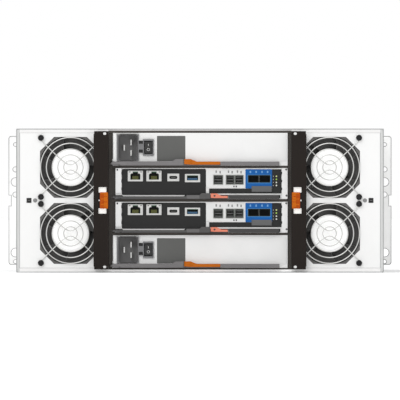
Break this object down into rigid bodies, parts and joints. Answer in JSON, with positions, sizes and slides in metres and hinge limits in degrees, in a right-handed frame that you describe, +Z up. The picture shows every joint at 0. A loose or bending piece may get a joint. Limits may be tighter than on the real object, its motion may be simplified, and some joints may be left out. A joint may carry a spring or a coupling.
{
  "type": "disk shelf enclosure",
  "caption": "Rack enclosure whose drive drawers slide out of the front, with fan, power and controller canisters plugged into the rear.",
  "frame": {"origin": "middle of the enclosure's footprint, on its underside", "axes": "+X to the right when looking at the rear face, +Y towards the drawer fronts, +Z up"},
  "size_m": [0.4826, 0.9716, 0.174],
  "materials": {
    "zinc_steel": "satin pale grey",
    "charcoal_paint": "satin charcoal",
    "white_paint": "satin white",
    "drawer_steel": "plain",
    "slide_steel": "plain",
    "drive_aluminium": "cast",
    "board_green": "glass-fibre circuit board",
    "guard_wire": "bright wire",
    "fan_black": "moulded",
    "handle_black": "satin black",
    "inlet_plastic": "moulded",
    "rocker_black": "moulded",
    "orange_plastic": "moulded",
    "salmon_plastic": "moulded",
    "lever_grey": "moulded"
  },
  "bodies": {
    "chassis": {"chassis_tray": "zinc_steel", "chassis_cover": "zinc_steel", "rack_ears": "zinc_steel", "canister_bay_frame": "charcoal_paint", "midplane_board": "board_green", "drawer_rails": "slide_steel"},
    "drawer_1": {"drawer_1_tray": "drawer_steel", "drawer_1_drives": "drive_aluminium"},
    "drawer_1_lever_left": {"drawer_1_lever_left": "lever_grey"},
    "drawer_1_lever_right": {"drawer_1_lever_right": "lever_grey"},
    "drawer_2": {"drawer_2_tray": "drawer_steel", "drawer_2_drives": "drive_aluminium"},
    "drawer_2_lever_left": {"drawer_2_lever_left": "lever_grey"},
    "drawer_2_lever_right": {"drawer_2_lever_right": "lever_grey"},
    "drawer_3": {"drawer_3_tray": "drawer_steel", "drawer_3_drives": "drive_aluminium"},
    "drawer_3_lever_left": {"drawer_3_lever_left": "lever_grey"},
    "drawer_3_lever_right": {"drawer_3_lever_right": "lever_grey"},
    "drawer_4": {"drawer_4_tray": "drawer_steel", "drawer_4_drives": "drive_aluminium"},
    "drawer_4_lever_left": {"drawer_4_lever_left": "lever_grey"},
    "drawer_4_lever_right": {"drawer_4_lever_right": "lever_grey"},
    "drawer_5": {"drawer_5_tray": "drawer_steel", "drawer_5_drives": "drive_aluminium"},
    "drawer_5_lever_left": {"drawer_5_lever_left": "lever_grey"},
    "drawer_5_lever_right": {"drawer_5_lever_right": "lever_grey"},
    "fan_left": {"fan_left_housing": "white_paint", "fan_left_frames": "fan_black", "fan_left_guards": "guard_wire"},
    "fan_left_handle": {"fan_left_handle": "handle_black"},
    "fan_left_release_tab": {"fan_left_release_tab": "orange_plastic"},
    "fan_left_rotor_upper": {"fan_left_rotor_upper": "fan_black"},
    "fan_left_rotor_lower": {"fan_left_rotor_lower": "fan_black"},
    "fan_right": {"fan_right_housing": "white_paint", "fan_right_frames": "fan_black", "fan_right_guards": "guard_wire"},
    "fan_right_handle": {"fan_right_handle": "handle_black"},
    "fan_right_release_tab": {"fan_right_release_tab": "orange_plastic"},
    "fan_right_rotor_upper": {"fan_right_rotor_upper": "fan_black"},
    "fan_right_rotor_lower": {"fan_right_rotor_lower": "fan_black"},
    "power_upper": {"power_upper_housing": "white_paint", "power_upper_inlet": "inlet_plastic"},
    "power_upper_lever": {"power_upper_lever": "lever_grey"},
    "power_upper_latch": {"power_upper_latch": "orange_plastic"},
    "power_upper_rocker": {"power_upper_rocker": "rocker_black"},
    "controller_upper": {"controller_upper_housing": "white_paint", "controller_upper_faceplate": "white_paint", "controller_upper_board": "board_green"},
    "controller_upper_lever": {"controller_upper_lever": "lever_grey"},
    "controller_upper_latch": {"controller_upper_latch": "salmon_plastic"},
    "controller_lower": {"controller_lower_housing": "white_paint", "controller_lower_faceplate": "white_paint", "controller_lower_board": "board_green"},
    "controller_lower_lever": {"controller_lower_lever": "lever_grey"},
    "controller_lower_latch": {"controller_lower_latch": "salmon_plastic"},
    "power_lower": {"power_lower_housing": "white_paint", "power_lower_inlet": "inlet_plastic"},
    "power_lower_lever": {"power_lower_lever": "lever_grey"},
    "power_lower_latch": {"power_lower_latch": "orange_plastic"},
    "power_lower_rocker": {"power_lower_rocker": "rocker_black"}
  },
  "joints": [
    {"name": "drawer_1_slide", "type": "slide", "parent": "chassis", "child": "drawer_1", "axis": [0, 1, 0], "range_m": [0, 0.5]},
    {"name": "power_upper_slide", "type": "slide", "parent": "chassis", "child": "power_upper", "axis": [0, -1, 0], "range_m": [0, 0.335]},
    {"name": "controller_upper_slide", "type": "slide", "parent": "chassis", "child": "controller_upper", "axis": [0, -1, 0], "range_m": [0, 0.335]},
    {"name": "fan_left_slide", "type": "slide", "parent": "chassis", "child": "fan_left", "axis": [0, -1, 0], "range_m": [0, 0.215]},
    {"name": "fan_left_handle_hinge", "type": "hinge", "parent": "fan_left", "child": "fan_left_handle", "pos_m": [-0.1271, -0.4808, 0.0871], "axis": [0, 0, -1], "range_deg": [0, 90]},
    {"name": "fan_right_handle_hinge", "type": "hinge", "parent": "fan_right", "child": "fan_right_handle", "pos_m": [0.1271, -0.4808, 0.0871], "axis": [0, 0, 1], "range_deg": [0, 90]},
    {"name": "power_upper_lever_hinge", "type": "hinge", "parent": "power_upper", "child": "power_upper_lever", "pos_m": [-0.1028, -0.478, 0.1322], "axis": [0, 0, -1], "range_deg": [0, 75]},
    {"name": "controller_upper_lever_hinge", "type": "hinge", "parent": "controller_upper", "child": "controller_upper_lever", "pos_m": [-0.1013, -0.478, 0.0917], "axis": [0, 0, -1], "range_deg": [0, 75]},
    {"name": "fan_left_rotor_upper_spin", "type": "hinge", "parent": "fan_left", "child": "fan_left_rotor_upper", "pos_m": [-0.1568, -0.4538, 0.1271], "axis": [0, 1, 0], "continuous": true},
    {"name": "power_upper_latch_hinge", "type": "hinge", "parent": "power_upper_lever", "child": "power_upper_latch", "pos_m": [-0.0105, -0.4788, 0.1332], "axis": [0, -1, 0], "range_deg": [0, 3], "stiffness_Nm_per_rad": 0.02, "springref_deg": -11.46},
    {"name": "controller_upper_latch_hinge", "type": "hinge", "parent": "controller_upper_lever", "child": "controller_upper_latch", "pos_m": [0.0176, -0.4788, 0.0927], "axis": [0, -1, 0], "range_deg": [0, 3], "stiffness_Nm_per_rad": 0.02, "springref_deg": -11.46},
    {"name": "power_upper_rocker_hinge", "type": "hinge", "parent": "power_upper", "child": "power_upper_rocker", "pos_m": [-0.06255, -0.471, 0.15125], "axis": [1, 0, 0], "range_deg": [0, 18]},
    {"name": "fan_left_tab_slide", "type": "slide", "parent": "fan_left_handle", "child": "fan_left_release_tab", "axis": [-1, 0, 0], "range_m": [0, 0.0026], "stiffness_N_per_m": 200, "springref_m": -0.002},
    {"name": "fan_right_tab_slide", "type": "slide", "parent": "fan_right_handle", "child": "fan_right_release_tab", "axis": [1, 0, 0], "range_m": [0, 0.0026], "stiffness_N_per_m": 200, "springref_m": -0.002},
    {"name": "drawer_1_lever_left_hinge", "type": "hinge", "parent": "drawer_1", "child": "drawer_1_lever_left", "pos_m": [-0.11, 0.4732, 0.1548], "axis": [0, 0, 1], "range_deg": [0, 80]},
    {"name": "drawer_1_lever_right_hinge", "type": "hinge", "parent": "drawer_1", "child": "drawer_1_lever_right", "pos_m": [0.11, 0.4732, 0.1548], "axis": [0, 0, -1], "range_deg": [0, 80]},
    {"name": "drawer_2_slide", "type": "slide", "parent": "chassis", "child": "drawer_2", "axis": [0, 1, 0], "range_m": [0, 0.5]},
    {"name": "drawer_3_slide", "type": "slide", "parent": "chassis", "child": "drawer_3", "axis": [0, 1, 0], "range_m": [0, 0.5]},
    {"name": "drawer_4_slide", "type": "slide", "parent": "chassis", "child": "drawer_4", "axis": [0, 1, 0], "range_m": [0, 0.5]},
    {"name": "drawer_5_slide", "type": "slide", "parent": "chassis", "child": "drawer_5", "axis": [0, 1, 0], "range_m": [0, 0.5]},
    {"name": "controller_lower_slide", "type": "slide", "parent": "chassis", "child": "controller_lower", "axis": [0, -1, 0], "range_m": [0, 0.335]},
    {"name": "power_lower_slide", "type": "slide", "parent": "chassis", "child": "power_lower", "axis": [0, -1, 0], "range_m": [0, 0.335]},
    {"name": "fan_right_slide", "type": "slide", "parent": "chassis", "child": "fan_right", "axis": [0, -1, 0], "range_m": [0, 0.215]},
    {"name": "controller_lower_lever_hinge", "type": "hinge", "parent": "controller_lower", "child": "controller_lower_lever", "pos_m": [-0.1013, -0.478, 0.0509], "axis": [0, 0, -1], "range_deg": [0, 75]},
    {"name": "power_lower_lever_hinge", "type": "hinge", "parent": "power_lower", "child": "power_lower_lever", "pos_m": [-0.1028, -0.478, 0.0084], "axis": [0, 0, -1], "range_deg": [0, 75]},
    {"name": "fan_left_rotor_lower_spin", "type": "hinge", "parent": "fan_left", "child": "fan_left_rotor_lower", "pos_m": [-0.1568, -0.4538, 0.0471], "axis": [0, 1, 0], "continuous": true},
    {"name": "fan_right_rotor_upper_spin", "type": "hinge", "parent": "fan_right", "child": "fan_right_rotor_upper", "pos_m": [0.1568, -0.4538, 0.1271], "axis": [0, 1, 0], "continuous": true},
    {"name": "fan_right_rotor_lower_spin", "type": "hinge", "parent": "fan_right", "child": "fan_right_rotor_lower", "pos_m": [0.1568, -0.4538, 0.0471], "axis": [0, 1, 0], "continuous": true},
    {"name": "power_lower_rocker_hinge", "type": "hinge", "parent": "power_lower", "child": "power_lower_rocker", "pos_m": [-0.06255, -0.471, 0.02745], "axis": [1, 0, 0], "range_deg": [0, 18]},
    {"name": "controller_lower_latch_hinge", "type": "hinge", "parent": "controller_lower_lever", "child": "controller_lower_latch", "pos_m": [0.0176, -0.4788, 0.0519], "axis": [0, -1, 0], "range_deg": [0, 3], "stiffness_Nm_per_rad": 0.02, "springref_deg": -11.46},
    {"name": "power_lower_latch_hinge", "type": "hinge", "parent": "power_lower_lever", "child": "power_lower_latch", "pos_m": [-0.0105, -0.4788, 0.0094], "axis": [0, -1, 0], "range_deg": [0, 3], "stiffness_Nm_per_rad": 0.02, "springref_deg": -11.46},
    {"name": "drawer_2_lever_left_hinge", "type": "hinge", "parent": "drawer_2", "child": "drawer_2_lever_left", "pos_m": [-0.11, 0.4732, 0.1208], "axis": [0, 0, 1], "range_deg": [0, 80]},
    {"name": "drawer_2_lever_right_hinge", "type": "hinge", "parent": "drawer_2", "child": "drawer_2_lever_right", "pos_m": [0.11, 0.4732, 0.1208], "axis": [0, 0, -1], "range_deg": [0, 80]},
    {"name": "drawer_3_lever_left_hinge", "type": "hinge", "parent": "drawer_3", "child": "drawer_3_lever_left", "pos_m": [-0.11, 0.4732, 0.0868], "axis": [0, 0, 1], "range_deg": [0, 80]},
    {"name": "drawer_3_lever_right_hinge", "type": "hinge", "parent": "drawer_3", "child": "drawer_3_lever_right", "pos_m": [0.11, 0.4732, 0.0868], "axis": [0, 0, -1], "range_deg": [0, 80]},
    {"name": "drawer_4_lever_left_hinge", "type": "hinge", "parent": "drawer_4", "child": "drawer_4_lever_left", "pos_m": [-0.11, 0.4732, 0.0528], "axis": [0, 0, 1], "range_deg": [0, 80]},
    {"name": "drawer_4_lever_right_hinge", "type": "hinge", "parent": "drawer_4", "child": "drawer_4_lever_right", "pos_m": [0.11, 0.4732, 0.0528], "axis": [0, 0, -1], "range_deg": [0, 80]},
    {"name": "drawer_5_lever_left_hinge", "type": "hinge", "parent": "drawer_5", "child": "drawer_5_lever_left", "pos_m": [-0.11, 0.4732, 0.0188], "axis": [0, 0, 1], "range_deg": [0, 80]},
    {"name": "drawer_5_lever_right_hinge", "type": "hinge", "parent": "drawer_5", "child": "drawer_5_lever_right", "pos_m": [0.11, 0.4732, 0.0188], "axis": [0, 0, -1], "range_deg": [0, 80]}
  ]
}
